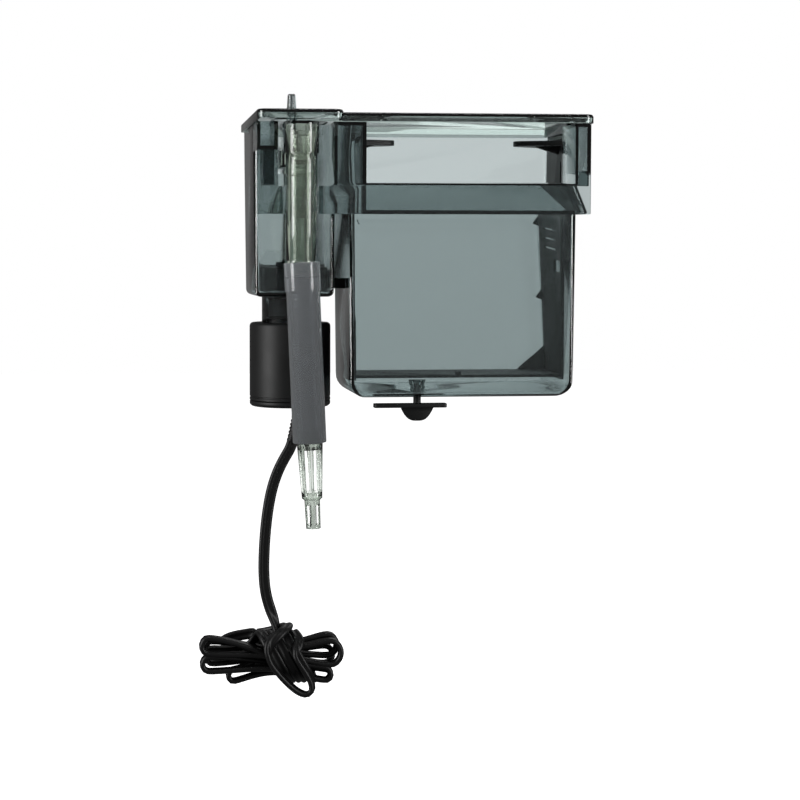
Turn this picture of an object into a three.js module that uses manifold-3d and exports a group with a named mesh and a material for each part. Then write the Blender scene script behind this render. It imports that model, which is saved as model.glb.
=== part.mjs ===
// Hang-on-back aquarium filter, an assembly of separate pieces. Millimetres, +Z up.
// The origin is the middle of the rim seat, +X runs along the tank wall to the right as seen
// from the tank, and +Y points away from the tank.
import * as THREE from 'three';
import { mergeVertices } from 'three/addons/utils/BufferGeometryUtils.js';
import Module from 'manifold-3d';

const wasm = await Module();
wasm.setup();

// ---- Driving dimensions ----
const gap = 0.3; // between pieces that touch
const wall = 2.3;
const boxTop = 38.9;
const bodyFront = 14.3;
const bodyBack = 92.3;
const draftSlope = 0.014; // how fast the end walls draw in as they go down
const media = { left: -44.4, right: 105, bottom: -135.4, foot: 11 };
const intake = { left: -105, right: -51.7, bottom: -70, foot: 4 };
const webBottom = -58; // the two webs that join the chambers end here
const lip = { left: -105, right: 105, front: -16.7, thickness: 2.4, bottom: -18 };
const spout = { left: -37, right: 95, floorTop: 3, edgeTop: 1.2 }; // the floor falls to its front edge
const strip = { width: 2.6, thickness: 1.6 }; // rubber along the lip's lower edge
const notch = { left: -92, right: -57, lipTop: -0.8, sill: 8 };
const arm = { leftUnder: 21.6, rightUnder: 8 };
const lid = {
  left: -107, right: 107.5, back: 94.5, front: -18, top: 44.7, plate: 2.2, skirtBottom: 39.2, edge: 1.4,
};
const hood = { right: -54, front: -43 }; // the part of the lid that covers the elbow
const socket = { x: -78.9, y: -29.7, radius: 10.8, bore: 9.1, top: 37.7, bottom: 18.5 };
const leg = { x: -74.5, y: 38, width: 21, depth: 24, bottom: -53.2 };
const elbowWall = 1.8;
const ductFloor = 10.6;
const stem = { x: -83.5, y: -15, top: 55.6, foot: 20.7, radius: 2.3, bore: 2.75 };
const tube = { radius: 9.75, bottom: -54, neckRadius: 9.1, neckBottomFrom: -46.9 };
const extension = { top: -47.7, collar: 17.3, length: 110.7, radius: 10.35, tilt: 2.55 };
const strainerLength = { upper: 35.3, lower: 17.6, spigot: 9 };
const motor = { x: -78, y: 48, radius: 26.5, top: -87.3, bottom: -138, shell: 2.5 };
const well = { radius: 11, bore: 9, bottom: -118 };
const neck = { radius: 18.5, wall: 1.5, bottom: -87 };
const cover = { left: -99.8, right: -56, front: 22, back: 84, top: -51.5, bottom: -66.9, wall: 2 };
const port = { front: 38, back: 62, top: -54, bottom: -65 };
const carrier = { front: 27, back: 76, top: 33, floor: -123, strip: 1.8 };
const foot = {
  x: 3, y: 28, bladeTop: -139.6, bladeBottom: -142.3, left: -25.5, right: 22.3, finBottom: -151,
};
const cord = { width: 7.4, thickness: 3.7 };
const relief = { x: -71, top: -147, length: 20, tilt: 16 };
const hank = { left: -137, right: -43, top: -286, bottom: -335, front: 34, back: 62 };
const plug = { x: -92, z: -311, length: 32, height: 22, depth: 15 };
const cordRoute = [
  [-80.2, -174.5], [-86.0, -184.6], [-90.4, -198], [-92.8, -212], [-94.4, -226],
  [-95.2, -240.5], [-95.4, -252], [-94.7, -262.3], [-93.2, -270], [-90.9, -277.5],
]; // x and z of the hanging cord, between the strain relief and the hank

// ---- Materials ----
const finish = (color, roughness, opacity = 1) =>
  new THREE.MeshStandardMaterial({ color, roughness, metalness: 0, opacity, transparent: opacity < 1 });
const smoke = finish(0x8a9896, 0.15, 0.5);
const olive = finish(0x8f9686, 0.15, 0.5);
const frosted = finish(0x6c7072, 0.5, 0.7);
const black = finish(0x242626, 0.5);
const rubber = finish(0x1a1a1a, 0.8);
const ceramic = finish(0xe6e3da, 0.4);
const ferrite = finish(0x4a4846, 0.6);
const copper = finish(0x9a5a34, 0.5);
const steel = new THREE.MeshStandardMaterial({ color: 0xb9bcc0, roughness: 0.35, metalness: 1 });

// ---- Solid helpers ----
const grid = 128; // corners lie on multiples of 1/128 mm, so that touching faces are truly flush

function toSolid(geometry) {
  const bare = geometry.index ? geometry.toNonIndexed() : geometry.clone();
  bare.deleteAttribute('normal');
  bare.deleteAttribute('uv');
  const positions = bare.attributes.position.array;
  positions.forEach((value, i) => { positions[i] = Math.round(value * grid) / grid; });
  const merged = mergeVertices(bare, 0.5 / grid);
  const solid = new wasm.Manifold(new wasm.Mesh({
    numProp: 3,
    vertProperties: new Float32Array(merged.attributes.position.array),
    triVerts: new Uint32Array(merged.index.array),
  }));
  return solid;
}

function toGeometry(solid) {
  const mesh = solid.simplify(1 / grid).getMesh();
  const geometry = new THREE.BufferGeometry();
  geometry.setAttribute('position', new THREE.BufferAttribute(new Float32Array(mesh.vertProperties), 3));
  geometry.setIndex(new THREE.BufferAttribute(new Uint32Array(mesh.triVerts), 1));
  geometry.computeVertexNormals();
  return geometry;
}

const join = (...solids) => solids.reduce((sum, next) => sum.add(next));
const cut = (solid, ...tools) => tools.reduce((rest, tool) => rest.subtract(tool), solid);

function block(x0, x1, y0, y1, z0, z1) {
  const box = new THREE.BoxGeometry(x1 - x0, y1 - y0, z1 - z0);
  return toSolid(box.translate((x0 + x1) / 2, (y0 + y1) / 2, (z0 + z1) / 2));
}

// A closed outline of [u, v, corner radius] points.
function outline(points) {
  const shape = new THREE.Shape();
  const roundness = 0.5523; // Bezier handle length that makes a quarter circle
  points.forEach(([u, v, radius = 0], i) => {
    const corner = new THREE.Vector2(u, v);
    const [pu, pv] = points[(i + points.length - 1) % points.length];
    const [nu, nv] = points[(i + 1) % points.length];
    const before = new THREE.Vector2(pu, pv).sub(corner).setLength(radius).add(corner);
    const after = new THREE.Vector2(nu, nv).sub(corner).setLength(radius).add(corner);
    if (i === 0) shape.moveTo(before.x, before.y);
    else shape.lineTo(before.x, before.y);
    if (radius > 0) {
      const c1 = before.clone().lerp(corner, roundness);
      const c2 = after.clone().lerp(corner, roundness);
      shape.bezierCurveTo(c1.x, c1.y, c2.x, c2.y, after.x, after.y);
    }
  });
  return shape;
}

const rectangle = (u0, u1, v0, v1, r = 0) =>
  outline([[u0, v0, r], [u1, v0, r], [u1, v1, r], [u0, v1, r]]);

const xAxis = new THREE.Vector3(1, 0, 0);
const yAxis = new THREE.Vector3(0, 1, 0);
const zAxis = new THREE.Vector3(0, 0, 1);

// Extrudes an outline between two heights, depths or widths.
function prismZ(shape, z0, z1, curveSegments = 5) {
  const solid = new THREE.ExtrudeGeometry(shape, { depth: z1 - z0, bevelEnabled: false, curveSegments });
  return toSolid(solid.translate(0, 0, z0));
}

function prismY(shape, y0, y1, curveSegments = 5) {
  const solid = new THREE.ExtrudeGeometry(shape, { depth: y1 - y0, bevelEnabled: false, curveSegments });
  solid.applyMatrix4(new THREE.Matrix4().makeBasis(xAxis, zAxis, yAxis.clone().negate()));
  return toSolid(solid.translate(0, y1, 0));
}

function prismX(shape, x0, x1, curveSegments = 5) {
  const solid = new THREE.ExtrudeGeometry(shape, { depth: x1 - x0, bevelEnabled: false, curveSegments });
  solid.applyMatrix4(new THREE.Matrix4().makeBasis(yAxis, zAxis, xAxis));
  return toSolid(solid.translate(x0, 0, 0));
}

// A tall block of an outline whose top edge is rounded.
function roundedTop(shape, z0, z1, radius) {
  const solid = new THREE.ExtrudeGeometry(shape, {
    depth: z1 - z0 - 2 * radius, curveSegments: 5, bevelSegments: 3,
    bevelThickness: radius, bevelSize: radius, bevelOffset: -radius,
  });
  return toSolid(solid.translate(0, 0, z0 + radius));
}

// A turned piece from [radius, height] points listed upwards round its outside, then back.
function turned(profile, x = 0, y = 0, sides = 32) {
  const points = [...profile, profile[0]].map(([r, z]) => new THREE.Vector2(r, z));
  const lathe = new THREE.LatheGeometry(points, sides);
  return toSolid(lathe.rotateX(Math.PI / 2).translate(x, y, 0));
}

const rod = (x, y, radius, z0, z1, sides = 24) =>
  turned([[0, z0], [radius, z0], [radius, z1], [0, z1]], x, y, sides);

const ring = (x, y, inner, outer, z0, z1, sides = 32) =>
  turned([[inner, z0], [outer, z0], [outer, z1], [inner, z1]], x, y, sides);

// A tub's outside or inside: upright corners, a rounded foot and drafted ends.
function tub({ left, right, front, back, top, bottom, corner, foot: radius }) {
  const draw = draftSlope * (boxTop - bottom);
  const lift = draftSlope * (boxTop - top);
  const plan = prismZ(rectangle(left, right, front, back, corner), bottom, top);
  const face = prismY(outline([
    [left + draw, bottom, radius], [right - draw, bottom, radius],
    [right - lift, top], [left + lift, top],
  ]), front - 1, back + 1, 7);
  const side = prismX(outline([
    [front, bottom, radius], [back, bottom, radius], [back, top], [front, top],
  ]), left - 1, right + 1, 7);
  return plan.intersect(face).intersect(side);
}

const pieces = new THREE.Group();

function place(name, solid, material, parent = pieces) {
  const mesh = new THREE.Mesh(toGeometry(solid), material);
  mesh.name = name;
  parent.add(mesh);
  return mesh;
}

// ---- Filter box: the media chamber, the intake chamber and the impeller well ----
function chamber(size, inset, top) {
  return tub({
    left: size.left + inset,
    right: size.right - inset,
    front: bodyFront + inset,
    back: bodyBack - inset,
    top,
    bottom: size.bottom + inset,
    corner: 5 - inset,
    foot: size.foot - inset * 0.8,
  });
}

function filterBox() {
  const webs = [bodyFront, bodyBack - wall].map((y) =>
    block(intake.right - 1.6, media.left + 1.6, y, y + wall, webBottom, boxTop));
  const boss = turned([
    [0, media.bottom + 0.5], [4, media.bottom + 0.5], [5.6, carrier.floor - 1.2], [0, carrier.floor - 1.2],
  ], foot.x, foot.y, 24);
  const neckRing = ring(
    motor.x, motor.y, neck.radius - neck.wall, neck.radius, neck.bottom, intake.bottom + 1);
  const wellTube = rod(motor.x, motor.y, well.radius, well.bottom, intake.bottom + 1, 32);

  const shell = join(
    chamber(media, 0, boxTop), chamber(intake, 0, boxTop), ...webs, neckRing, wellTube,
  );
  const above = boxTop + 5;
  const hollow = cut(shell, chamber(media, wall, above), chamber(intake, wall, above));
  const mouth = block(spout.left, spout.right, bodyFront - 1, bodyFront + wall + 1, spout.floorTop, above);
  const sill = block(notch.left, notch.right - 8, bodyFront - 1, bodyFront + wall + 1, notch.sill, above);
  const portHole = block(
    intake.right - 8, media.left + 8, port.front - gap, port.back + gap, port.bottom - gap, port.top + gap);
  const wellBore = rod(motor.x, motor.y, well.bore, well.bottom + 2, intake.bottom + 4, 32);
  const bossHole = rod(foot.x, foot.y, 2.9, media.bottom - 1, carrier.floor - 3.4, 20);
  return cut(join(hollow, boss), mouth, sill, portHole, wellBore, bossHole);
}

// ---- Rim hook: the spout floor, its pillars and the lip that hangs inside the tank ----
function rimHook() {
  const back = bodyFront - gap;
  const lipBack = lip.front + lip.thickness;
  const pillarLeft = notch.right;
  const panel = prismY(outline([
    [lip.left, lip.bottom, 1], [lip.right, lip.bottom, 1], [lip.right, boxTop], [spout.right, boxTop],
    [spout.right, spout.edgeTop], [spout.left, spout.edgeTop], [spout.left, boxTop],
    [pillarLeft, boxTop], [pillarLeft, notch.lipTop, 3], [notch.left, notch.lipTop, 1],
    [notch.left, boxTop], [lip.left, boxTop],
  ]), lip.front, lipBack);
  const floor = prismX(outline([
    [lip.front, 0], [back, 0], [back, spout.floorTop], [lip.front, spout.edgeTop],
  ]), spout.left - 0.5, spout.right + 0.5);
  const pillar = cut(
    block(pillarLeft, spout.left, lip.front, back, 0, boxTop),
    block(pillarLeft + wall, spout.left - wall, lipBack, bodyFront, -1, boxTop - wall),
  );
  const rightPillar = cut(
    block(spout.right, lip.right, lip.front, back, arm.rightUnder, boxTop),
    block(spout.right + wall, lip.right - wall, lipBack, bodyFront, arm.rightUnder - 1, boxTop - wall),
  );
  const spoutCheek = block(spout.right, spout.right + wall, lip.front, back, 0, boxTop);
  const leftArm = cut(
    block(lip.left, notch.left, lip.front, back, arm.leftUnder, boxTop),
    block(lip.left + wall, notch.left - wall, lipBack, bodyFront, arm.leftUnder + wall, boxTop + 1),
  );
  const pegs = [
    block(lip.left + 4, lip.left + 10.6, lipBack - 0.5, lipBack + 8, 0, arm.leftUnder + 1),
    block(lip.right - 6.3, lip.right - 1.2, lipBack - 0.5, lipBack + 6, 0, arm.rightUnder + 1),
  ];
  const saddle = [notch.left + 2, -65.6].map((x) =>
    block(x - 0.9, x + 0.9, lip.front - 3, lip.front + 0.5, lip.bottom, notch.lipTop));
  return join(panel, floor, pillar, rightPillar, spoutCheek, leftArm, ...pegs, ...saddle);
}

function lipStrip() {
  const front = lip.front + lip.thickness + gap;
  const left = spout.left - strip.width;
  const plan = outline([
    [left, lip.bottom], [spout.right, lip.bottom], [spout.right, lip.bottom + strip.width],
    [spout.left, lip.bottom + strip.width], [spout.left, -gap], [left, -gap],
  ]);
  return prismY(plan, front, front + strip.thickness);
}

// ---- Lid, with a hood over the intake elbow ----
function lidOutline(inset) {
  const corner = 6.5 - inset * 0.8;
  return outline([
    [lid.left + inset, lid.back - inset, corner],
    [lid.left + inset, hood.front + inset, corner],
    [hood.right - inset, hood.front + inset, corner],
    [hood.right - inset, lid.front + inset, 2 + inset * 0.5],
    [lid.right - inset, lid.front + inset, corner],
    [lid.right - inset, lid.back - inset, corner],
  ]);
}

function thumbPad(x, y, width, depth) {
  const pad = new THREE.Shape();
  pad.absellipse(x, y, width / 2, depth / 2, 0, Math.PI * 2);
  return prismZ(pad, lid.top - lid.plate - 1.5, lid.top - lid.plate + 0.5, 24);
}

function lidSolid() {
  const skirtWall = 2.2;
  const seat = 3.6; // the skirt is this thick where it rests on the box
  const underside = lid.top - lid.plate;
  const roof = prismZ(lidOutline(0), underside, lid.top);
  const skirt = cut(
    prismZ(lidOutline(0), lid.skirtBottom, underside + 0.1),
    prismZ(lidOutline(skirtWall), lid.skirtBottom - 1, underside + 0.2),
  );
  const seatRib = cut(
    block(lid.left + 1, lid.right - 1, bodyFront + 6, lid.back - 1, lid.skirtBottom, underside + 0.1),
    block(lid.left + seat, lid.right - seat, bodyFront, lid.back - seat, lid.skirtBottom - 1, underside + 1),
  );
  const rib = { left: intake.left + wall + 0.6, back: bodyBack - wall - 0.6, bottom: 36.4, width: 1.6 };
  const ribPlan = (inset) => rectangle(
    rib.left + inset, -rib.left - inset, bodyFront + 6, rib.back - inset, 3.2 - inset);
  const locator = cut(
    prismZ(ribPlan(0), rib.bottom, underside + 0.1),
    prismZ(ribPlan(rib.width), rib.bottom - 1, underside),
    block(rib.left - 1, 1 - rib.left, bodyFront, bodyFront + 12, rib.bottom - 1, underside),
    block(intake.right - wall - 1, media.left + wall + 1, bodyFront, lid.back, rib.bottom - 1, underside - 3),
  );
  const stemHole = rod(stem.x, stem.y, 4.6, lid.skirtBottom, lid.top + 1);
  const edge = roundedTop(lidOutline(0), rib.bottom - 4, lid.top, lid.edge);
  const solid = join(roof, skirt, seatRib, locator, thumbPad(-33, 2, 28, 24), thumbPad(86, 2, 36, 24));
  return cut(solid.intersect(edge), stemHole);
}

// ---- Intake elbow, with a tube socket, a duct over the rim and a leg down to the impeller ----
function elbowSolid() {
  const left = socket.x - socket.radius;
  const right = socket.x + socket.radius;
  const legLeft = leg.x - leg.width / 2;
  const legRight = leg.x + leg.width / 2;
  const legFront = leg.y - leg.depth / 2;
  const legBack = leg.y + leg.depth / 2;
  const stepBack = socket.y + socket.radius + 0.4;
  const duct = (inset) => join(
    block(left + inset, right - inset, socket.y, stepBack + 3, socket.bottom + inset, socket.top - inset),
    block(left + inset, right - inset, stepBack + inset, legBack - inset, ductFloor + inset, socket.top - inset),
  );
  const legBlock = (inset, z0) => prismZ(
    rectangle(legLeft + inset, legRight - inset, legFront + inset, legBack - inset, 4 - inset),
    z0, socket.top - inset);
  const outside = join(
    duct(0), legBlock(0, leg.bottom),
    rod(socket.x, socket.y, socket.radius, socket.bottom, socket.top, 40));
  return cut(
    outside, duct(elbowWall), legBlock(elbowWall, leg.bottom - 1),
    rod(socket.x, socket.y, socket.bore, socket.bottom - 1, socket.top - elbowWall, 40),
    rod(stem.x, stem.y, stem.bore, socket.top - 5, socket.top + 1, 20));
}

function legSeal() {
  const space = gap;
  const ringWidth = 2.6;
  const section = (grow) => rectangle(
    leg.x - leg.width / 2 - grow, leg.x + leg.width / 2 + grow,
    leg.y - leg.depth / 2 - grow, leg.y + leg.depth / 2 + grow, 4 + grow);
  const z0 = cover.top + gap;
  return cut(prismZ(section(space + ringWidth), z0, z0 + 2.4), prismZ(section(space), z0 - 1, z0 + 4));
}

// ---- Flow control: a stem through the lid that turns a vane in the duct ----
function stemSolid() {
  const shoulder = socket.top + gap;
  return turned([
    [0, stem.foot], [stem.radius, stem.foot], [stem.radius, shoulder], [3.25, shoulder],
    [3.2, shoulder + 3], [2.3, stem.top - 0.6], [1.8, stem.top], [0, stem.top],
  ], stem.x, stem.y, 24);
}

function vaneSolid() {
  const hub = { bore: stem.radius + gap, radius: 3.35, bottom: 21.2, top: 34.5 };
  const reach = 12.2;
  const blade = block(
    stem.x - 0.8, stem.x + 0.8, stem.y + hub.bore + gap, stem.y + reach, hub.bottom, hub.top);
  return join(ring(stem.x, stem.y, hub.bore, hub.radius, hub.bottom, hub.top, 20), blade);
}

// ---- Intake tube, extension and strainer ----
function tubeSolid() {
  const shoulder = socket.bottom - gap;
  const spigotTop = 32;
  const bore = 7.5;
  const rib = 5.6;
  return turned([
    [bore, tube.bottom], [tube.neckRadius, tube.bottom], [tube.neckRadius, tube.neckBottomFrom],
    [tube.radius, tube.neckBottomFrom], [tube.radius, rib - 0.6], [10.1, rib - 0.4], [10.1, rib + 0.4],
    [tube.radius, rib + 0.6], [tube.radius, shoulder], [socket.bore - gap, shoulder],
    [socket.bore - gap, spigotTop], [bore, spigotTop],
  ], socket.x, socket.y, 36);
}

// The extension and the strainer are drawn about their own axis, with the collar's mouth at 0.
function extensionSolid() {
  const collarBore = 9.75;
  const collarRadius = 11.15;
  const bore = 8.75;
  return turned([
    [bore, -extension.length], [extension.radius, -extension.length],
    [extension.radius, -extension.collar - 0.6], [collarRadius, -extension.collar],
    [collarRadius, 0], [collarBore, 0], [collarBore, -8.5], [bore, -9.5],
  ], 0, 0, 36);
}

function strainerSolid() {
  const start = -extension.length - gap;
  const middle = start - strainerLength.upper;
  const end = middle - strainerLength.lower;
  const spigotTop = start + strainerLength.spigot;
  const body = turned([
    [3.3, end], [4.5, end], [4.9, middle], [6.35, middle + 1.2], [8.05, start], [8.4, start + 0.1],
    [8.4, spigotTop], [6.9, spigotTop], [6.6, start], [5.1, middle + 2.4], [3.6, middle + 0.6],
  ], 0, 0, 32);
  const slots = [];
  const slotRow = (count, width, z0, z1, reach) => {
    for (let i = 0; i < count; i += 1) {
      const slot = new THREE.BoxGeometry(reach, width, z1 - z0);
      slot.translate(reach / 2 + 1, 0, (z0 + z1) / 2);
      slots.push(toSolid(slot.rotateZ((i + 0.5) * 2 * Math.PI / count)));
    }
  };
  slotRow(8, 3.4, middle + 5, start - 4, 12);
  slotRow(4, 3.4, end + 2.5, middle - 3, 6);
  return cut(body, ...slots);
}

// ---- Pump: cover, impeller, magnet, shaft, bushes, motor can, base, seal, core and coil ----
function coverSolid() {
  const inner = cover.wall;
  const shell = cut(
    prismZ(rectangle(cover.left, cover.right, cover.front, cover.back, 5), cover.bottom, cover.top),
    prismZ(rectangle(cover.left + inner, cover.right - inner, cover.front + inner, cover.back - inner, 3),
      cover.bottom - 1, cover.top - inner),
  );
  const outlet = block(
    cover.right - 1, media.left + wall + 0.7, port.front, port.back, port.bottom, port.top);
  const outletBore = block(
    cover.right - inner - 1, media.left + wall + 2, port.front + 1.6, port.back - 1.6,
    port.bottom + 1.6, port.top - 1.6);
  const inlet = prismZ(rectangle(
    leg.x - leg.width / 2 - gap, leg.x + leg.width / 2 + gap,
    leg.y - leg.depth / 2 - gap, leg.y + leg.depth / 2 + gap, 4), cover.top - 5, cover.top + 1);
  return cut(join(shell, outlet), outletBore, inlet);
}

function impellerSolid() {
  const bottom = -66.8;
  const top = -59.4;
  const hub = rod(motor.x, motor.y, 4.4, bottom, top, 24);
  const disc = rod(motor.x, motor.y, 12.6, bottom, bottom + 1.4, 32);
  const blades = [0, 1, 2, 3, 4, 5].map((i) => {
    const blade = new THREE.BoxGeometry(9.2, 1.3, top - bottom - 0.6);
    blade.translate(8, 0, (top + bottom) / 2 + 0.3).rotateZ(i * Math.PI / 3);
    return toSolid(blade.translate(motor.x, motor.y, 0));
  });
  return cut(join(hub, disc, ...blades), rod(motor.x, motor.y, 1.6, bottom - 1, top + 1, 16));
}

function motorHousing() {
  const hole = well.radius + 0.6;
  const inner = motor.radius - motor.shell;
  const collar = { inner: 12.8, outer: 14.6, top: -71 };
  return turned([
    [inner, motor.bottom], [motor.radius, motor.bottom], [motor.radius, motor.top - 1.5],
    [motor.radius - 1.5, motor.top], [collar.outer, motor.top], [collar.outer, collar.top],
    [collar.inner, collar.top], [collar.inner, motor.top], [hole, motor.top],
    [hole, motor.top - motor.shell], [inner, motor.top - motor.shell],
  ], motor.x, motor.y, 40);
}

function motorBase() {
  const top = motor.bottom - gap;
  const cap = turned([
    [0, -142], [motor.radius - 1.5, -142], [motor.radius, -140.5], [motor.radius, top], [0, top],
  ], motor.x, motor.y, 40);
  return join(cap, rod(relief.x, motor.y, 6, -145, -141, 24));
}

function motorSeal() {
  const middle = { radius: 15.8, z: -83.4, thick: 0.9 };
  const points = [];
  for (let i = 0; i < 10; i += 1) {
    const a = i * Math.PI / 5;
    points.push([middle.radius + middle.thick * Math.cos(a), middle.z + middle.thick * Math.sin(a)]);
  }
  return turned(points, motor.x, motor.y, 36);
}

const core = { half: 8, reach: 21, barTop: -124, barBottom: -131, top: -96 };

function statorCore() {
  const y0 = motor.y - core.half;
  const y1 = motor.y + core.half;
  const inner = well.radius + 0.7;
  const bar = block(motor.x - core.reach, motor.x + core.reach, y0, y1, core.barBottom, core.barTop);
  const poles = [-1, 1].map((side) => {
    const near = motor.x + side * inner;
    const far = motor.x + side * core.reach;
    return block(Math.min(near, far), Math.max(near, far), y0, y1, core.barTop - 1, core.top);
  });
  return join(bar, ...poles);
}

function statorCoil() {
  const wind = 2.6;
  const half = 10;
  const section = (grow) => rectangle(
    motor.y - core.half - grow, motor.y + core.half + grow, core.barBottom - grow, core.barTop + grow, 1);
  return cut(
    prismX(section(wind + gap), motor.x - half, motor.x + half),
    prismX(section(gap), motor.x - half - 1, motor.x + half + 1));
}

// ---- Media carrier: a U-shaped frame that lifts out by its two finger tabs ----
function carrierSolid() {
  const innerWall = (side, z) => (side > 0 ? media.right - wall : media.left + wall)
    - side * draftSlope * (boxTop - z);
  const clearance = 0.9;
  const strips = [-1, 1].map((side) => {
    const outerX = (z) => innerWall(side, z) - side * clearance;
    const strip = outline([
      [outerX(carrier.floor), carrier.floor - 1.5], [outerX(carrier.top), carrier.top],
      [outerX(carrier.top) - side * carrier.strip, carrier.top],
      [outerX(carrier.floor) - side * carrier.strip, carrier.floor - 1.5],
    ]);
    return prismY(strip, carrier.front, carrier.back);
  });
  const left = innerWall(-1, carrier.floor) + clearance;
  const right = innerWall(1, carrier.floor) - clearance;
  const plate = block(left, right, carrier.front, carrier.back, carrier.floor, carrier.floor + 1.8);
  const tabs = [-1, 1].map((side) => {
    const root = innerWall(side, 30) - side * (clearance + 0.4);
    const tip = root - side * 31;
    const plan = outline([
      [root, carrier.front + 4], [tip, 42, 4], [tip, 52, 4], [root, carrier.back - 4],
    ]);
    const rib = outline([[root, 22.5], [root, 30], [tip + side * 8, 30]]);
    return join(prismZ(plan, 28.2, 31.4), prismY(rib, 45, 49));
  });
  const tooth = (side, z, height, reach) => {
    const root = innerWall(side, z) - side * (clearance + 1);
    const plan = [[root, z - height / 2], [root, z + height / 2], [root - side * reach, z - height / 4]];
    return prismY(outline(plan), carrier.back - 2.4, carrier.back);
  };
  const teeth = [];
  [-26, -73].forEach((z) => [-1, 1].forEach((side) => teeth.push(tooth(side, z, 8, 5.5))));
  const footRoot = innerWall(1, -110) - 1.6;
  const gusset = prismY(outline([
    [footRoot, -105], [footRoot, carrier.floor + 1], [footRoot - 20, carrier.floor + 1],
    [footRoot - 18, -119.5],
  ]), carrier.back - 3, carrier.back);
  const stop = block(28, 31.5, carrier.front, carrier.front + 3, carrier.floor + 1, carrier.floor + 4);
  const windows = [
    block(-44, -35, port.front, port.back, port.bottom, port.top),
    block(92, 104, 31, 44, -56, -48.5),
    ...[-30, -36, -42].map((z) => block(92, 104, 40, 66, z - 0.6, z + 0.6)),
    block(92, 104, 36, 39.5, -8, 18),
  ];
  return cut(join(...strips, plate, ...tabs, ...teeth, gusset, stop), ...windows);
}

// ---- Levelling foot: a post, an off-centre blade and a half-round thumb fin ----
function levellerSolid() {
  const post = rod(foot.x, foot.y, 2.5, foot.bladeTop - 0.5, carrier.floor - 4.2, 20);
  const blade = prismZ(
    rectangle(foot.left, foot.right, foot.y - 4, foot.y + 4, 2), foot.bladeBottom, foot.bladeTop);
  const fin = new THREE.Shape();
  const finHalf = 11;
  fin.moveTo(foot.x - finHalf, foot.bladeBottom + 0.5);
  fin.bezierCurveTo(
    foot.x - 7, foot.finBottom, foot.x - 4, foot.finBottom, foot.x, foot.finBottom);
  fin.bezierCurveTo(
    foot.x + 4, foot.finBottom, foot.x + 7, foot.finBottom, foot.x + finHalf, foot.bladeBottom + 0.5);
  fin.closePath();
  return join(post, blade, prismY(fin, foot.y - 1.3, foot.y + 1.3, 8));
}

// ---- Mains cord: strain relief, hanging length, tied hank and plug ----
const reliefTilt = THREE.MathUtils.degToRad(relief.tilt);
const alongRelief = (distance) => new THREE.Vector3(
  relief.x - Math.sin(reliefTilt) * distance, motor.y, relief.top - Math.cos(reliefTilt) * distance);

function cordSolid() {
  const section = new THREE.Shape();
  section.absellipse(0, 0, cord.thickness / 2, cord.width / 2, 0, Math.PI * 2);
  const start = alongRelief(relief.length + gap);
  const route = new THREE.CatmullRomCurve3([
    start, alongRelief(relief.length + 4),
    ...cordRoute.map(([x, z]) => new THREE.Vector3(x, motor.y, z)),
    new THREE.Vector3(-87.6, motor.y, hank.top + gap + 1.2),
  ], false, 'centripetal');
  return toSolid(new THREE.ExtrudeGeometry(section, {
    steps: 30, curveSegments: 5, bevelEnabled: false, extrudePath: route,
  }));
}

function hankSolid() {
  const radius = (hank.top - hank.bottom) / 2;
  return prismY(
    rectangle(hank.left, hank.right, hank.bottom, hank.top, radius - 0.01), hank.front, hank.back, 8);
}

function plugBody() {
  const y0 = hank.back + gap;
  const z0 = plug.z - plug.height / 2;
  const z1 = plug.z + plug.height / 2;
  const x0 = plug.x - plug.length / 2;
  const x1 = plug.x + plug.length / 2;
  return prismY(outline([
    [x1, z0, 2.5], [x1, z1, 2.5], [x0 + 10, z1, 4], [x0, plug.z + 5.5, 1.5], [x0, plug.z - 5.5, 1.5],
    [x0 + 10, z0, 4],
  ]), y0, y0 + plug.depth, 4);
}

function plugBlade(offset) {
  const x0 = plug.x + plug.length / 2 + gap;
  const y = hank.back + gap + plug.depth / 2;
  return block(x0, x0 + 17, y - 3.1, y + 3.1, plug.z + offset - 0.75, plug.z + offset + 0.75);
}

// ---- Assembly ----
place('filter_box', filterBox(), smoke);
place('rim_hook', rimHook(), smoke);
place('lip_strip', lipStrip(), rubber);
place('lid', lidSolid(), smoke);
place('intake_elbow', elbowSolid(), olive);
place('leg_seal', legSeal(), rubber);
place('flow_stem', stemSolid(), smoke);
place('flow_vane', vaneSolid(), black);
place('intake_tube', tubeSolid(), olive);

const lowered = new THREE.Group(); // the extension leans to the right as it goes down
lowered.position.set(socket.x + 0.2, socket.y, extension.top);
lowered.rotation.y = -THREE.MathUtils.degToRad(extension.tilt);
pieces.add(lowered);
place('extension_tube', extensionSolid(), frosted, lowered);
place('strainer', strainerSolid(), frosted, lowered);

place('impeller_cover', coverSolid(), black);
place('impeller', impellerSolid(), black);
place('rotor_magnet', ring(motor.x, motor.y, 1.6, 7.6, -109, -67.1, 28), ferrite);
place('impeller_shaft', rod(motor.x, motor.y, 1.25, -113, -55, 16), ceramic);
place('shaft_bush_upper', ring(motor.x, motor.y, 1.6, 3.4, -59, -53.9, 20), rubber);
place('shaft_bush_lower', ring(motor.x, motor.y, 1.6, 5.6, -115.6, -110, 24), rubber);
place('motor_housing', motorHousing(), black);
place('motor_base', motorBase(), black);
place('motor_seal', motorSeal(), rubber);
place('stator_core', statorCore(), steel);
place('stator_coil', statorCoil(), copper);
place('media_carrier', carrierSolid(), black);
place('leveller', levellerSolid(), black);

const reliefPiece = place('strain_relief', turned([
  [0, -relief.length], [3.3, -relief.length], [5.0, -2], [5.2, 0], [0, 0],
], 0, 0, 20), rubber);
reliefPiece.position.copy(alongRelief(0));
reliefPiece.rotation.y = reliefTilt;
place('power_cord', cordSolid(), rubber);
place('cord_hank', hankSolid(), rubber);
place('plug_body', plugBody(), rubber);
place('plug_blade_upper', plugBlade(6.35), steel);
place('plug_blade_lower', plugBlade(-6.35), steel);

export default pieces;
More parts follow.
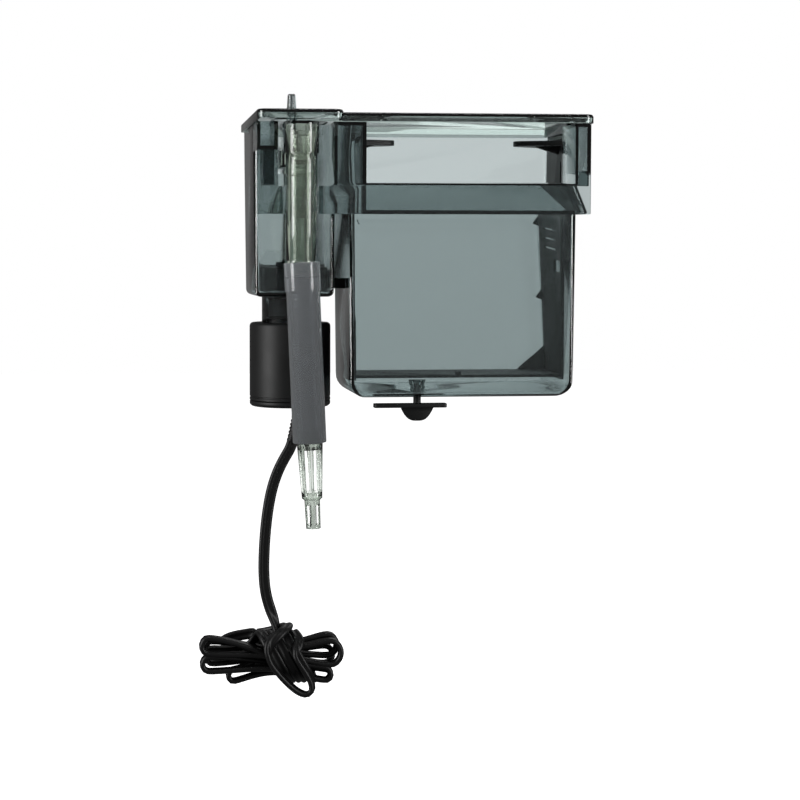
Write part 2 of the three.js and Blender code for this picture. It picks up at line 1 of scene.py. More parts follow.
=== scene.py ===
import math

import bpy
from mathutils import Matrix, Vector


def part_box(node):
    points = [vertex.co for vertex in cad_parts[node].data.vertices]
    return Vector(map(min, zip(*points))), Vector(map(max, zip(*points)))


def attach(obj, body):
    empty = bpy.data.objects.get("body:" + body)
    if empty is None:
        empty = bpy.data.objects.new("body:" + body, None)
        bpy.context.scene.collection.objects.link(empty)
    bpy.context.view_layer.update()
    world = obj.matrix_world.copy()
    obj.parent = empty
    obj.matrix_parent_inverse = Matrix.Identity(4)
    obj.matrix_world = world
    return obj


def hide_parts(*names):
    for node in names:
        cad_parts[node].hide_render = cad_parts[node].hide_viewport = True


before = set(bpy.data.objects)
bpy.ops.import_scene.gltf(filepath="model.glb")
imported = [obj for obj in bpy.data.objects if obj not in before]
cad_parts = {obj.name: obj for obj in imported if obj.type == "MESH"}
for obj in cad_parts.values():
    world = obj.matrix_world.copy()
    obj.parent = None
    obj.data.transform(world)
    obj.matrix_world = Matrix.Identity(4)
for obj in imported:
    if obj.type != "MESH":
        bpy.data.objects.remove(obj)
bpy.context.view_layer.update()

mm = 0.001
print("frame loaded")


cameraSettings = {
    "place": (-0.1965, -1.108, -0.0432),
    "yaw": -5.53,      # degrees, turned to the right
    "pitch": -2.88,    # degrees, tipped down
    "lens": 79.8,
    "shift": (0.15, -0.07),
}


def makeCamera(s):
    bpy.ops.object.camera_add(location=s["place"])
    camera = bpy.context.object
    camera.rotation_euler = (math.radians(90 + s["pitch"]), 0, math.radians(s["yaw"]))
    camera.data.lens = s["lens"]
    camera.data.sensor_width = 36
    camera.data.shift_x, camera.data.shift_y = s["shift"]
    camera.data.clip_start = 0.01
    bpy.context.scene.camera = camera


makeCamera(cameraSettings)
print("camera placed")


def linear(hexColour):
    # sRGB hex such as "8a9896" to linear red, green, blue, alpha
    channels = [int(hexColour[i:i + 2], 16) / 255 for i in (0, 2, 4)]
    return [c / 12.92 if c <= 0.04045 else ((c + 0.055) / 1.055) ** 2.4 for c in channels] + [1.0]


def addNode(material, kind, settings=None, links=None):
    # settings: socket or attribute name to value; links: input socket name to an output socket
    node = material.node_tree.nodes.new(kind)
    for name, value in (settings or {}).items():
        if name in node.inputs:
            node.inputs[name].default_value = value
        else:
            setattr(node, name, value)
    for name, source in (links or {}).items():
        material.node_tree.links.new(source, node.inputs[name])
    return node


def newMaterial(name, settings):
    material = bpy.data.materials.new(name)
    material.use_nodes = True
    shader = material.node_tree.nodes["Principled BSDF"]
    for socket, value in settings.items():
        shader.inputs[socket].default_value = value
    place = addNode(material, "ShaderNodeTexCoord").outputs["Object"]
    return material, shader, place


def connect(material, source, target):
    material.node_tree.links.new(source, target)


def outputOf(material):
    return material.node_tree.nodes["Material Output"]


def addBump(material, shader, height, distance, strength=1.0):
    bump = addNode(
        material, "ShaderNodeBump", {"Distance": distance, "Strength": strength}, {"Height": height}
    )
    connect(material, bump.outputs["Normal"], shader.inputs["Normal"])


def varied(material, source, low, high):
    # maps a 0 to 1 pattern to a range
    node = addNode(
        material, "ShaderNodeMapRange", {"To Min": low, "To Max": high}, {"Value": source}
    )
    return node.outputs["Result"]


clearPlastics = {
    # smoke styrene acrylonitrile, injection moulded and as glossy as its mould: the tint is in the
    # plastic, so thick places and edges go dark; wave is how strongly the melt's flow waves show
    "smokeStyrene": {
        "density": 410.0, "tint": (0.195, 0.31, 0.315), "roughness": 0.02, "wave": 0.00010,
    },
    # the lid is moulded from a paler batch
    "lidStyrene": {
        "density": 290.0, "tint": (0.20, 0.33, 0.30), "roughness": 0.02, "wave": 0.00010,
    },
    # the strainer is paler still
    "paleStyrene": {
        "density": 520.0, "tint": (0.28, 0.36, 0.28), "roughness": 0.05, "wave": 0.00001,
    },
    # the same plastic with a warmer tint, for the elbow and the tube
    "oliveStyrene": {
        "density": 270.0, "tint": (0.30, 0.40, 0.26), "roughness": 0.02, "wave": 0.00003,
    },
}


def makeClearPlastic(name, s):
    material, shader, place = newMaterial(name, {
        "Base Color": (1, 1, 1, 1),
        "Transmission Weight": 1.0,
        "IOR": 1.57,
        "Specular IOR Level": 0.5,
    })
    # handling haze: slow patches, finer smears within them
    haze = addNode(material, "ShaderNodeTexNoise", {
        "Scale": 38.0, "Detail": 5.0, "Roughness": 0.6,
    }, {"Vector": place})
    rough = varied(material, haze.outputs["Fac"], s["roughness"] * 0.5, s["roughness"] * 2.2)
    connect(material, rough, shader.inputs["Roughness"])
    # flow waves left by the melt, some 25 to 40 mm long and a few hundredths deep
    flow = addNode(material, "ShaderNodeTexNoise", {
        "Scale": 28.0, "Detail": 1.0,
    }, {"Vector": place})
    addBump(material, shader, flow.outputs["Fac"], s["wave"], 0.6)
    body = addNode(material, "ShaderNodeVolumeAbsorption", {
        "Color": (*s["tint"], 1), "Density": s["density"],
    })
    connect(material, body.outputs["Volume"], outputOf(material).inputs["Volume"])
    return material


# soft grey polyethylene, translucent, with a satin mould finish that blurs what is behind it
frostedSettings = {
    "colour": "b4b8bb", "tint": (0.40, 0.41, 0.43), "density": 190.0, "roughness": 0.14,
    "transmission": 0.78, "streaks": 900.0,
}


def makeFrosted(name, s):
    material, shader, place = newMaterial(name, {
        "Base Color": linear(s["colour"]),
        "Transmission Weight": s["transmission"],
        "IOR": 1.51,
    })
    drawn = addNode(material, "ShaderNodeMapping", {"Scale": (1.0, 1.0, 0.04)}, {"Vector": place})
    streaks = addNode(material, "ShaderNodeTexNoise", {
        "Scale": s["streaks"], "Detail": 3.0,
    }, {"Vector": drawn.outputs["Vector"]})
    rough = varied(material, streaks.outputs["Fac"], s["roughness"] * 0.7, s["roughness"] * 1.4)
    connect(material, rough, shader.inputs["Roughness"])
    body = addNode(material, "ShaderNodeVolumeAbsorption", {
        "Color": (*s["tint"], 1), "Density": s["density"],
    })
    connect(material, body.outputs["Volume"], outputOf(material).inputs["Volume"])
    return material


opaquePlastics = {
    # ABS in a spark-eroded mould: a fine even grain, about 0.35 mm, that spreads the highlights
    "blackAbs": {
        "dark": "070808", "light": "0c0d0d", "roughness": (0.42, 0.56),
        "grain": 2800.0, "depth": 0.00003,
    },
    # nitrile rubber, matt with a trace of bloom
    "blackRubber": {
        "dark": "0c0c0c", "light": "181818", "roughness": (0.65, 0.85),
        "grain": 1500.0, "depth": 0.00003,
    },
    # flexible PVC of the cord and its mouldings: smoother, with a soft sheen
    "cordPvc": {
        "dark": "040404", "light": "080809", "roughness": (0.36, 0.5),
        "grain": 1800.0, "depth": 0.00002,
    },
    # sintered ferrite: dark grey, matt and slightly pitted
    "ferrite": {
        "dark": "2a2927", "light": "3a3836", "roughness": (0.6, 0.8),
        "grain": 2400.0, "depth": 0.00004,
    },
    # ground alumina ceramic
    "alumina": {
        "dark": "dcd8cc", "light": "ebe8df", "roughness": (0.25, 0.35),
        "grain": 1600.0, "depth": 0.00001,
    },
}


def makeOpaque(name, s):
    material, shader, place = newMaterial(name, {"IOR": 1.5, "Specular IOR Level": 0.35})
    cloud = addNode(material, "ShaderNodeTexNoise", {
        "Scale": 60.0, "Detail": 4.0,
    }, {"Vector": place})
    blend = addNode(material, "ShaderNodeMixRGB", {
        "Color1": linear(s["dark"]), "Color2": linear(s["light"]),
    }, {"Fac": cloud.outputs["Fac"]})
    connect(material, blend.outputs["Color"], shader.inputs["Base Color"])
    rough = varied(material, cloud.outputs["Fac"], *s["roughness"])
    connect(material, rough, shader.inputs["Roughness"])
    grain = addNode(material, "ShaderNodeTexNoise", {
        "Scale": s["grain"], "Detail": 2.0,
    }, {"Vector": place})
    addBump(material, shader, grain.outputs["Fac"], s["depth"], 0.8)
    return material


metals = {
    # stacked electrical steel sheets, 0.5 mm thick: the sheet edges show as fine lines
    "laminatedSteel": {"colour": "8b8f94", "roughness": 0.38, "pitch": 0.5, "axis": "Y"},
    # enamelled copper wire, 0.3 mm, wound in layers: drawn as 0.6 mm so that it shows
    "copperWinding": {"colour": "a5582c", "roughness": 0.34, "pitch": 0.6, "axis": "X"},
    # nickel-plated brass of the plug's blades, rolled along their length
    "platedBrass": {"colour": "c9c2ae", "roughness": 0.28, "pitch": 0.4, "axis": "Y"},
}


def makeMetal(name, s):
    material, shader, place = newMaterial(name, {
        "Base Color": linear(s["colour"]), "Metallic": 1.0, "Roughness": s["roughness"],
    })
    wave = addNode(material, "ShaderNodeTexWave", {
        "Scale": 2 * math.pi / (20 * s["pitch"] * mm), "Distortion": 0.4, "Detail": 1.0,
        "bands_direction": s["axis"],
    }, {"Vector": place})
    addBump(material, shader, wave.outputs["Fac"], 0.00006, 0.7)
    return material


finishes = {name: makeClearPlastic(name, s) for name, s in clearPlastics.items()}
finishes["frostedPolyethylene"] = makeFrosted("frostedPolyethylene", frostedSettings)
finishes.update({name: makeOpaque(name, s) for name, s in opaquePlastics.items()})
finishes.update({name: makeMetal(name, s) for name, s in metals.items()})
print("materials made")


def deselectAll():
    if bpy.context.object and bpy.context.object.mode != "OBJECT":
        bpy.ops.object.mode_set(mode="OBJECT")
    bpy.ops.object.select_all(action="DESELECT")


def makeActive(piece):
    deselectAll()
    piece.select_set(True)
    bpy.context.view_layer.objects.active = piece


def applyModifiers(piece):
    makeActive(piece)
    for modifier in list(piece.modifiers):
        bpy.ops.object.modifier_apply(modifier=modifier.name)


def settle(piece, name, finish):
    # puts the piece's place into its mesh and gives it its name and material
    makeActive(piece)
    bpy.ops.object.transform_apply(location=True, rotation=True, scale=True)
    piece.name = name
    piece.data.name = name
    piece.data.materials.clear()
    piece.data.materials.append(finishes[finish])
    return piece


def smoothEdges(piece, degrees=35):
    makeActive(piece)
    bpy.ops.object.shade_smooth_by_angle(angle=math.radians(degrees))


shellSettings = {
    "merge": 0.02,         # mm, joins the loose triangles
    "flat": 0.6,           # degrees, faces flatter than this become one
    "sharp": 40,           # degrees, edges sharper than this are rounded
    "segments": 2,
}


def carryOver(node, finish, body, softEdge=0.35, s=shellSettings):
    # a merged copy of a CAD node with its flat faces made whole and its edges rounded as moulded
    copy = bpy.data.objects.new(node + "_shape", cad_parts[node].data.copy())
    bpy.context.scene.collection.objects.link(copy)
    makeActive(copy)
    bpy.ops.object.mode_set(mode="EDIT")
    bpy.ops.mesh.select_all(action="SELECT")
    bpy.ops.mesh.remove_doubles(threshold=s["merge"] * mm)
    bpy.ops.mesh.dissolve_limited(angle_limit=math.radians(s["flat"]))
    bpy.ops.object.mode_set(mode="OBJECT")
    if softEdge:
        bevel = copy.modifiers.new("soft edge", "BEVEL")
        bevel.width = softEdge * mm
        bevel.segments = s["segments"]
        bevel.limit_method = "ANGLE"
        bevel.angle_limit = math.radians(s["sharp"])
        applyModifiers(copy)
    settle(copy, node + "_shape", finish)
    smoothEdges(copy)
    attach(copy, body)
    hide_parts(node)
    return copy


def turnPiece(name, rings, centre, finish, sides=96, solid=False):
    # a ring of points extruded from one [radius, height] to the next, in mm about a standing axis;
    # a tube's last ring joins its first, and a solid piece is capped at both ends
    x, y = centre[0] * mm, centre[1] * mm
    lastRadius, lastHeight = rings[0]
    deselectAll()
    bpy.ops.mesh.primitive_circle_add(
        vertices=sides, radius=lastRadius * mm, location=(x, y, lastHeight * mm)
    )
    piece = bpy.context.object
    bpy.ops.object.transform_apply(location=True, rotation=True, scale=True)
    bpy.ops.object.mode_set(mode="EDIT")
    bpy.ops.mesh.select_all(action="SELECT")
    for radius, height in list(rings[1:]) + ([] if solid else [rings[0]]):
        bpy.ops.mesh.extrude_edges_move(
            TRANSFORM_OT_translate={"value": (0, 0, (height - lastHeight) * mm)}
        )
        grow = radius / lastRadius
        bpy.ops.transform.resize(value=(grow, grow, 1), center_override=(x, y, height * mm))
        lastRadius, lastHeight = radius, height
    bpy.ops.mesh.select_all(action="SELECT")
    bpy.ops.mesh.remove_doubles(threshold=0.000004)
    if solid:
        bpy.ops.mesh.select_all(action="DESELECT")
        bpy.ops.mesh.select_non_manifold()
        bpy.ops.mesh.fill_holes(sides=0)
    bpy.ops.mesh.select_all(action="SELECT")
    bpy.ops.mesh.normals_make_consistent(inside=False)
    bpy.ops.object.mode_set(mode="OBJECT")
    return settle(piece, name, finish)


def ridesAs(piece, body, node):
    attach(piece, body)
    if node:
        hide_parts(node)
    return piece


# mains cord: a hanging stretch below the motor, then a hank tied with its own end; sizes in mm
cordSettings = {
    "width": 7.4,
    "thickness": 3.7,
    "web": 2.3,            # thickness of the groove between the two conductors
    "exit": (-71.0, 48.0, -145.0),
    "reliefTop": (-71.0, 48.0, -147.0),
    "reliefTilt": 16,
    "reliefLength": 20,
    "hanging": [           # x and z, all at the motor's depth
        (-80.2, -174.5), (-86.0, -184.6), (-90.4, -198), (-92.8, -212), (-94.4, -226),
        (-95.2, -240.5), (-95.4, -252), (-94.7, -262.3), (-93.2, -270), (-90.9, -277.5),
    ],
    # each turn of the hank: left and right end, height there, fold radius there, depth
    "turns": [
        (-137.0, -44.5, -299.0, -305.0, 5.6, 8.6, 41.0),
        (-136.5, -51.5, -311.0, -319.0, 5.2, 4.6, 41.5),
        (-119.0, -50.5, -320.5, -321.5, 4.2, 3.8, 48.5),
        (-134.5, -46.5, -302.5, -301.5, 5.2, 7.6, 49.0),
        (-133.5, -48.5, -309.0, -309.5, 5.4, 6.4, 56.0),
    ],
    "waist": (-88.0, -308.5),
    "pinch": 2.4,          # half the gap between the two strands of a turn at the waist
    # the tie round the waist, from its start angle through its whole sweep, in degrees
    "wrap": {
        "x": -89.5, "pitch": 7.7, "lean": -0.5, "depth": 48.0, "halfDepth": 14.0,
        "halfHeight": 16.5, "start": 75, "sweep": 1145, "steps": 44,
    },
    "frontLoop": [
        (-78, 31.2, -303), (-72, 30.8, -311), (-66, 30.6, -320), (-64.3, 30.6, -327.5),
        (-68.5, 30.6, -331.2),
        (-76, 30.6, -327.5), (-84, 30.6, -319.5), (-91, 30.6, -311), (-95.2, 30.6, -302.5),
        (-92.5, 31.2, -295), (-86, 33.5, -290), (-80.5, 40, -287.8), (-79, 49, -287.6),
        (-81, 58, -290),
        (-87, 65, -294), (-97, 69.5, -297), (-109, 70.5, -298.5), (-119, 70.2, -300.5),
        (-124, 69.9, -305.5),
        (-120.5, 69.8, -310.5), (-113.5, 69.8, -311), (-107.6, 69.8, -311),
    ],
    "step": 2.4,
    "length": 1.5,
}


def alongRelief(s, distance):
    x, y, z = s["reliefTop"]
    tilt = math.radians(s["reliefTilt"])
    return Vector((x - math.sin(tilt) * distance, y, z - math.cos(tilt) * distance))


def hankTurn(turn, after, waist, pinch):
    # along the top to the right fold, back under to the left fold, and up to the waist again
    left, right, zLeft, zRight, rLeft, rRight, depth = turn
    middleX, middleZ = waist
    zMiddle = middleZ + 0.55 * ((zLeft + zRight) / 2 - middleZ)
    points = [
        (middleX, depth, zMiddle + pinch),
        (middleX + 16, depth, 0.5 * (zMiddle + zRight) + pinch + 1.0),
    ]
    for i in range(7):
        a = math.radians(90 - 30 * i)
        points.append((right - rRight + rRight * math.cos(a), depth, zRight + rRight * math.sin(a)))
    points.append((middleX + 14, depth, 0.5 * (zMiddle + zRight) - pinch - 1.0))
    points.append((middleX, depth, zMiddle - pinch))
    points.append((middleX - 16, depth, 0.5 * (zMiddle + zLeft) - pinch - 0.6))
    for i in range(7):
        a = math.radians(-90 - 30 * i)
        points.append((left + rLeft + rLeft * math.cos(a), depth, zLeft + rLeft * math.sin(a)))
    points.append((
        middleX - 18, depth + 0.4 * (after - depth), 0.5 * (zMiddle + zLeft) + pinch + 0.6,
    ))
    return points


def cordRoute(s):
    # each entry is a point in mm and the way that the cord's flat width lies there
    across, deep, tall = (1, 0, 0), (0, 1, 0), (0, 0, 1)
    depth = s["reliefTop"][1]
    route = [(alongRelief(s, d), across) for d in (0, 7, 14, 20.3, 24)]
    route += [(Vector((x, depth, z)), across) for x, z in s["hanging"]]
    route += [
        (Vector((-88.2, 47.5, -284.5)), (0.8, 0.6, 0)),
        (Vector((-86.5, 45.5, -292)), (0.3, 1, 0)),
        (Vector((-88.5, 43, -299)), deep),
    ]
    turns = s["turns"]
    for i, turn in enumerate(turns):
        after = turns[min(i + 1, len(turns) - 1)][6]
        route += [(Vector(p), deep) for p in hankTurn(turn, after, s["waist"], s["pinch"])]
    w = s["wrap"]
    middleZ = s["waist"][1]
    steps = w["steps"]
    for i in range(steps + 1):
        a = math.radians(w["start"] + i * w["sweep"] / steps)
        z = middleZ + w["halfHeight"] * math.sin(a)
        x = w["x"] + w["lean"] * (z - middleZ) + w["pitch"] * (i / steps) * 3
        route.append((Vector((x, w["depth"] + w["halfDepth"] * math.cos(a), z)), across))
    for i, p in enumerate(s["frontLoop"]):
        route.append((Vector(p), (0.35, 1, 0) if i < 9 else (across if i < 16 else tall)))
    return route


def sampled(route, step):
    # Catmull-Rom through the route, then points at even steps along it, then a light relaxing
    dense = []
    for i in range(len(route) - 1):
        p = [route[max(0, min(len(route) - 1, i + k))] for k in (-1, 0, 1, 2)]
        for j in range(8):
            t = j / 8
            a, b, c, d = (q[0] for q in p)
            point = 0.5 * (2 * b + (c - a) * t + (2 * a - 5 * b + 4 * c - d) * t ** 2
                           + (3 * b - a - 3 * c + d) * t ** 3)
            dense.append((point, Vector(p[1][1]).lerp(Vector(p[2][1]), t)))
    dense.append((route[-1][0], Vector(route[-1][1])))
    for sweep in range(30):
        for i in range(1, len(dense) - 1):
            middle = (dense[i - 1][0] + dense[i + 1][0]) / 2
            dense[i] = (dense[i][0].lerp(middle, 0.5), dense[i][1])
    even, carried = [dense[0]], 0.0
    for i in range(1, len(dense)):
        start, end = dense[i - 1][0], dense[i][0]
        run = (end - start).length
        while run > 0 and carried + run >= step:
            t = (step - carried) / run
            start = start.lerp(end, t)
            even.append((start, dense[i][1]))
            run = (end - start).length
            carried = 0.0
        carried += run
    even.append(dense[-1])
    return even


def twinSection(s):
    # two round conductors side by side with a shallow groove between them
    half, r = s["width"] / 2, s["thickness"] / 2
    section = []
    for side in (1, -1):
        for i in range(9):
            a = math.radians(-112 + 28 * i) if side > 0 else math.radians(68 + 28 * i)
            section.append((side * (half - r) + r * math.cos(a), max(-r, min(r, r * math.sin(a)))))
        section.append((0.0, side * s["web"] / 2))
    return section


def makeCord(s, finish):
    points = sampled(cordRoute(s), s["step"])
    section = twinSection(s)
    vertices, faces = [], []
    for i, (point, width) in enumerate(points):
        ahead = points[min(i + 1, len(points) - 1)][0] - points[max(i - 1, 0)][0]
        ahead.normalize()
        across = (width - ahead * width.dot(ahead)).normalized()
        thick = ahead.cross(across)
        vertices += [(point + across * u + thick * v) * mm for u, v in section]
        if i:
            n, base = len(section), (i - 1) * len(section)
            for k in range(n):
                after = (k + 1) % n
                faces.append((base + k, base + after, base + n + after, base + n + k))
    n = len(section)
    faces.append(tuple(range(n - 1, -1, -1)))
    faces.append(tuple(range(len(vertices) - n, len(vertices))))
    mesh = bpy.data.meshes.new("cord_sheath")
    mesh.from_pydata(vertices, [], faces)
    cord = bpy.data.objects.new("cord_sheath", mesh)
    bpy.context.scene.collection.objects.link(cord)
    mesh.materials.append(finishes[finish])
    makeActive(cord)
    bpy.ops.object.mode_set(mode="EDIT")
    bpy.ops.mesh.select_all(action="SELECT")
    bpy.ops.mesh.normals_make_consistent(inside=False)
    bpy.ops.object.mode_set(mode="OBJECT")
    smoothEdges(cord, 60)
    line = [point[0] * mm for point in points]
    length = sum((b - a).length for a, b in zip(line, line[1:]))
    print("cord is", round(length, 3), "m long")
    return cord, [tuple(p) for p in line]


cordSheath, cordLine = makeCord(cordSettings, "cordPvc")


reliefSettings = {"top": 5.2, "end": 3.9, "rib": 0.55, "ribs": 6, "flatten": 0.86}


def makeRelief(s, cord):
    # a tapered sleeve with flexing grooves
    length = cord["reliefLength"]
    rings = [(s["end"] - 0.5, -length), (s["end"], -length + 0.6)]
    pitch = (length - 5) / s["ribs"]
    for i in range(s["ribs"]):
        z = -length + 1.6 + i * pitch
        r = s["end"] + (s["top"] - s["end"]) * i / s["ribs"]
        rings += [(r, z), (r - s["rib"], z + 0.35), (r - s["rib"], z + 0.95), (r, z + 1.3)]
    rings += [(s["top"], -2.4), (s["top"], -0.4), (s["top"] - 0.4, 0)]
    relief = turnPiece("strain_relief_sleeve", rings, (0, 0), "cordPvc", sides=48, solid=True)
    relief.scale = (1, s["flatten"], 1)
    relief.rotation_euler = (0, math.radians(cord["reliefTilt"]), 0)
    relief.location = Vector(cord["reliefTop"]) * mm
    settle(relief, "strain_relief_sleeve", "cordPvc")
    smoothEdges(relief, 40)
    return ridesAs(relief, "box", "strain_relief")


reliefSleeve = makeRelief(reliefSettings, cordSettings)


plugSettings = {
    "rows": 12,
    "taper": 0.38,                               # share of the length that narrows to the cord
    "endDepth": 0.62, "endHeight": 0.5,          # what is left of the depth and height there
    "round": 2.2,
    "grooves": 4, "groovePitch": 3.4, "grooveDepth": 0.7, "grooveReach": 0.42,
}


def selectWhere(piece, test):
    # selects by place, and stays in edit mode for the operator that follows
    makeActive(piece)
    bpy.ops.object.mode_set(mode="EDIT")
    bpy.ops.mesh.select_all(action="DESELECT")
    bpy.ops.object.mode_set(mode="OBJECT")
    for vertex in piece.data.vertices:
        vertex.select = test(vertex.co)
    bpy.ops.object.mode_set(mode="EDIT")


def narrowPlug(s, plug, lo, size, middle):
    # the rows towards the cord are scaled down, one after another
    for row in range(s["rows"]):
        along = row / s["rows"]
        if along >= s["taper"]:
            break
        x = lo.x + along * size.x
        left = along / s["taper"]
        deep = s["endDepth"] + (1 - s["endDepth"]) * left
        tall = s["endHeight"] + (1 - s["endHeight"]) * left
        selectWhere(plug, lambda place: abs(place.x - x) < 0.1 * mm)
        bpy.ops.transform.resize(value=(1, deep, tall), center_override=middle)
    deselectAll()


def groovePlug(s, plug, lo, size, middle):
    # finger grooves across both broad faces: each row inside a groove is pushed in
    rows = sorted({round(vertex.co.x, 7) for vertex in plug.data.vertices})
    reach = s["grooveReach"] * s["groovePitch"] * mm
    for groove in range(s["grooves"]):
        centre = lo.x + size.x * 0.5 + groove * s["groovePitch"] * mm
        for x in [row for row in rows if abs(row - centre) < reach]:
            push = s["grooveDepth"] * mm * (1 - ((x - centre) / reach) ** 2)
            for side in (1, -1):
                selectWhere(plug, lambda place: (
                    abs(place.x - x) < 0.0001 * mm and side * (place.y - middle.y) > 0.3 * size.y
                    and abs(place.z - middle.z) < 0.4 * size.z
                ))
                bpy.ops.transform.translate(value=(0, -side * push, 0))
    deselectAll()


def makePlug(s):
    lo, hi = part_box("plug_body")
    size, middle = hi - lo, (lo + hi) / 2
    deselectAll()
    bpy.ops.mesh.primitive_cube_add(size=1, location=middle)
    plug = bpy.context.object
    plug.scale = size
    bpy.ops.object.transform_apply(location=True, rotation=True, scale=True)
    bpy.ops.object.mode_set(mode="EDIT")
    bpy.ops.mesh.select_all(action="SELECT")
    bpy.ops.mesh.subdivide(number_cuts=s["rows"] - 1)
    narrowPlug(s, plug, lo, size, middle)
    bevel = plug.modifiers.new("round", "BEVEL")
    bevel.width = s["round"] * mm
    bevel.segments = 4
    bevel.limit_method = "ANGLE"
    bevel.angle_limit = math.radians(50)
    applyModifiers(plug)
    groovePlug(s, plug, lo, size, middle)
    settle(plug, "plug_moulding", "cordPvc")
    smoothEdges(plug, 40)
    return ridesAs(plug, "box", "plug_body")


plugMoulding = makePlug(plugSettings)
bladeNodes = ("plug_blade_upper", "plug_blade_lower")
plugBlades = [carryOver(node, "platedBrass", "box", 0.25) for node in bladeNodes]

ridesAs(cordSheath, "box", None)
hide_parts("power_cord", "cord_hank")
print("cord and plug made")


# the moulded shells keep the shape of their solids
carryOver("filter_box", "smokeStyrene", "box", 0.4)
carryOver("rim_hook", "smokeStyrene", "box", 0.3)
carryOver("lip_strip", "blackRubber", "box", 0.3)
carryOver("lid", "lidStyrene", "lid", 0.6)
carryOver("intake_elbow", "oliveStyrene", "intake", 0.5)
carryOver("flow_vane", "blackAbs", "flow_control", 0.2)
print("shells carried over")


stemSettings = {"radius": 2.3, "foot": 20.7, "shoulder": 38.0, "top": 55.6, "x": -83.5, "y": -15.0}


def makeStem(s):
    # a tapered peg on a shoulder, with a dimple in its top
    stem = turnPiece("flow_stem_peg", [
        (s["radius"] - 0.4, s["foot"]), (s["radius"], s["foot"] + 0.4),
        (s["radius"], s["shoulder"]), (3.0, s["shoulder"]), (3.25, s["shoulder"] + 0.25),
        (3.2, s["shoulder"] + 3), (2.45, s["top"] - 1.2), (2.3, s["top"] - 0.5), (1.9, s["top"]),
        (1.3, s["top"]), (1.2, s["top"] - 0.6), (0.9, s["top"] - 9),
    ], (s["x"], s["y"]), "smokeStyrene", sides=64, solid=True)
    smoothEdges(stem, 40)
    return ridesAs(stem, "flow_control", "flow_stem")


makeStem(stemSettings)


tubeSettings = {"x": -78.9, "y": -29.7, "radius": 9.75, "bore": 7.5, "neck": 9.1, "spigot": 8.8}


def makeIntakeTube(s):
    r, bore = s["radius"], s["bore"]
    tube = turnPiece("intake_tube_pipe", [
        (bore, -53.7), (bore + 0.3, -54), (s["neck"] - 0.4, -54), (s["neck"], -53.6),
        (s["neck"], -46.9), (r - 0.3, -46.9), (r, -46.5), (r, 4.7), (r + 0.35, 5.1),
        (r + 0.35, 6.1), (r, 6.5), (r, 17.8), (r - 0.3, 18.2), (s["spigot"], 18.2),
        (s["spigot"], 31.6), (s["spigot"] - 0.4, 32), (bore, 32),
    ], (s["x"], s["y"]), "oliveStyrene", sides=96)
    smoothEdges(tube, 40)
    return ridesAs(tube, "intake", "intake_tube")


makeIntakeTube(tubeSettings)


extensionSettings = {"pivot": (-78.7, -29.7, -47.7), "tilt": -2.55, "length": 110.7, "collar": 17.3}


def leaned(piece, s):
    # from its own upright axis to its leaning place below the tube
    piece.rotation_euler = (0, math.radians(s["tilt"]), 0)
    piece.location = Vector(s["pivot"]) * mm
    return piece


def makeExtension(s):
    end, collar = -s["length"], -s["collar"]
    pipe = turnPiece("extension_pipe", [
        (8.75, end + 0.3), (9.0, end), (10.1, end), (10.35, end + 0.3), (10.35, collar - 0.9),
        (10.6, collar - 0.6), (11.0, collar - 0.4), (11.15, collar), (11.15, -0.4), (10.8, 0),
        (10.1, 0), (9.75, -0.4), (9.75, -8.5), (8.75, -9.5),
    ], (0, 0), "frostedPolyethylene", sides=96)
    leaned(pipe, s)
    settle(pipe, "extension_pipe", "frostedPolyethylene")
    smoothEdges(pipe, 40)
    return ridesAs(pipe, "extension", "extension_tube")


makeExtension(extensionSettings)
carryOver("strainer", "paleStyrene", "strainer", 0.2)
print("intake made")


motorSettings = {"x": -78.0, "y": 48.0, "radius": 26.5, "shell": 2.5}


def makeMotorCan(s):
    r, inner = s["radius"], s["radius"] - s["shell"]
    can = turnPiece("motor_can", [
        (inner, -138), (r - 0.3, -138), (r, -137.7), (r, -136.4), (r - 0.35, -136.1),
        (r - 0.35, -135.5), (r, -135.2), (r, -89.6), (r - 0.3, -88.5), (r - 0.9, -87.7),
        (r - 1.8, -87.3), (14.6, -87.3), (14.6, -71.3), (14.3, -71), (13.1, -71), (12.8, -71.3),
        (12.8, -87.3), (11.6, -87.3), (11.6, -89.8), (inner, -89.8),
    ], (s["x"], s["y"]), "blackAbs", sides=128)
    smoothEdges(can, 40)
    return ridesAs(can, "box", "motor_housing")


makeMotorCan(motorSettings)
carryOver("motor_base", "blackAbs", "box", 0.5)
carryOver("motor_seal", "blackRubber", "box", 0)
carryOver("impeller_cover", "blackAbs", "box", 0.4)
carryOver("leg_seal", "blackRubber", "box", 0.4)
carryOver("impeller", "blackAbs", "rotor", 0.2)
carryOver("rotor_magnet", "ferrite", "rotor", 0.4)
carryOver("impeller_shaft", "alumina", "box", 0.15)
carryOver("shaft_bush_upper", "blackRubber", "box", 0.3)
carryOver("shaft_bush_lower", "blackRubber", "box", 0.3)
carryOver("stator_core", "laminatedSteel", "box", 0.2)
carryOver("stator_coil", "copperWinding", "box", 0.6)
print("pump made")


carryOver("media_carrier", "blackAbs", "carrier", 0.3)
carryOver("leveller", "blackAbs", "foot", 0.4)
print("carrier and foot made")


studioSettings = {
    "floor": -0.42, "floorSize": 9.0,
    "room": 0.15,          # how bright the room is that the object reflects
    "bounces": 24,         # enough for a ray to pass all the clear walls
    "aim": (0, 0, -0.08),
}


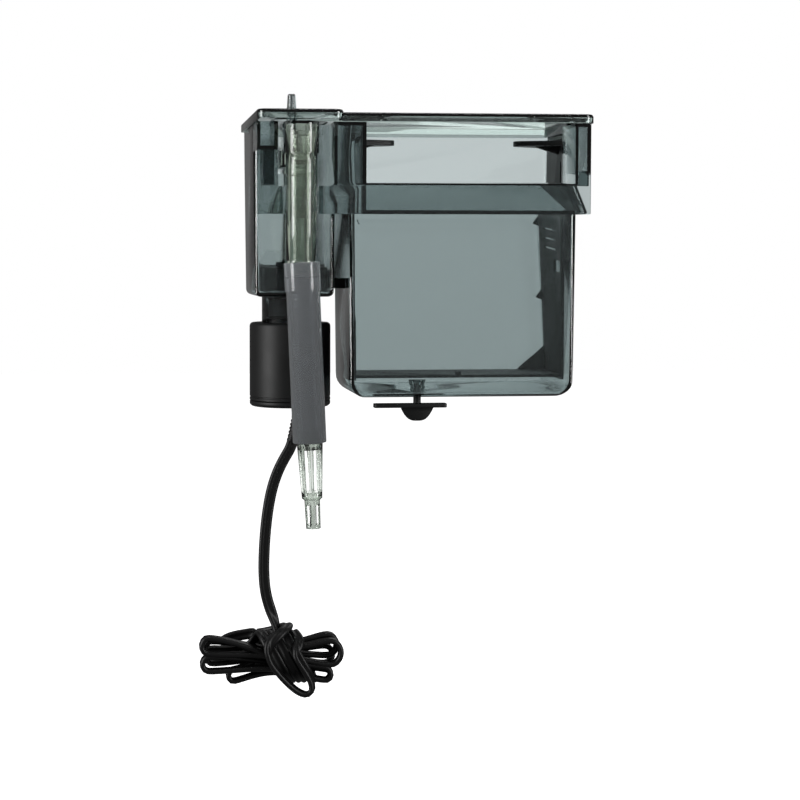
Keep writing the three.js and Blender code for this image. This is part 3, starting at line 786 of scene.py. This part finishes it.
def makeFloor(s):
    deselectAll()
    bpy.ops.mesh.primitive_plane_add(size=s["floorSize"], location=(0, 0, s["floor"]))
    floor = bpy.context.object
    floor.name = "floor"
    paint = newMaterial("paleFloor", {
        "Base Color": (0.8, 0.8, 0.8, 1), "Roughness": 0.9, "Emission Strength": 1.0,
        "Emission Color": (1, 1, 1, 1),
    })[0]
    floor.data.materials.append(paint)
    floor.visible_diffuse = False
    floor.visible_glossy = False


def makeWorld(s):
    # a white sweep behind the object, and a dimmer room for it to reflect
    world = bpy.data.worlds.new("studio")
    bpy.context.scene.world = world
    world.use_nodes = True
    rays = addNode(world, "ShaderNodeLightPath")
    seen = addNode(world, "ShaderNodeMath", {"operation": "MAXIMUM"})
    connect(world, rays.outputs["Is Camera Ray"], seen.inputs[0])
    connect(world, rays.outputs["Is Transmission Ray"], seen.inputs[1])
    strength = addNode(world, "ShaderNodeMapRange", {
        "To Min": s["room"], "To Max": 1.0,
    }, {"Value": seen.outputs[0]})
    background = world.node_tree.nodes["Background"]
    background.inputs["Color"].default_value = (1, 1, 1, 1)
    connect(world, strength.outputs["Result"], background.inputs["Strength"])


lights = {
    # two tall soft boxes at the sides draw the long highlights on the tubes
    "leftBox": {"place": (-1.25, -0.40, 0.05), "size": (0.45, 1.2), "power": 15.0},
    "rightBox": {"place": (0.95, -0.70, 0.05), "size": (0.30, 1.2), "power": 10.0},
    "topBox": {"place": (0.0, 0.0, 1.0), "size": (0.9, 0.6), "power": 4.0},
    "backBox": {"place": (0.5, 1.0, 0.5), "size": (0.7, 0.7), "power": 2.0},
}


def makeLight(name, s):
    bpy.ops.object.light_add(type="AREA", location=s["place"])
    light = bpy.context.object
    light.name = name
    light.data.shape = "RECTANGLE"
    light.data.size, light.data.size_y = s["size"]
    light.data.energy = s["power"]
    aim = Vector(studioSettings["aim"]) - Vector(s["place"])
    light.rotation_euler = aim.to_track_quat("-Z", "Y").to_euler()


makeFloor(studioSettings)
makeWorld(studioSettings)
for lightName, lightSettings in lights.items():
    makeLight(lightName, lightSettings)
view = bpy.context.scene.view_settings
view.view_transform = "Standard"
view.look = "None"
cycles = bpy.context.scene.cycles
cycles.max_bounces = studioSettings["bounces"]
cycles.transmission_bounces = studioSettings["bounces"]
cycles.transparent_max_bounces = studioSettings["bounces"]
print("studio made")

deselectAll()
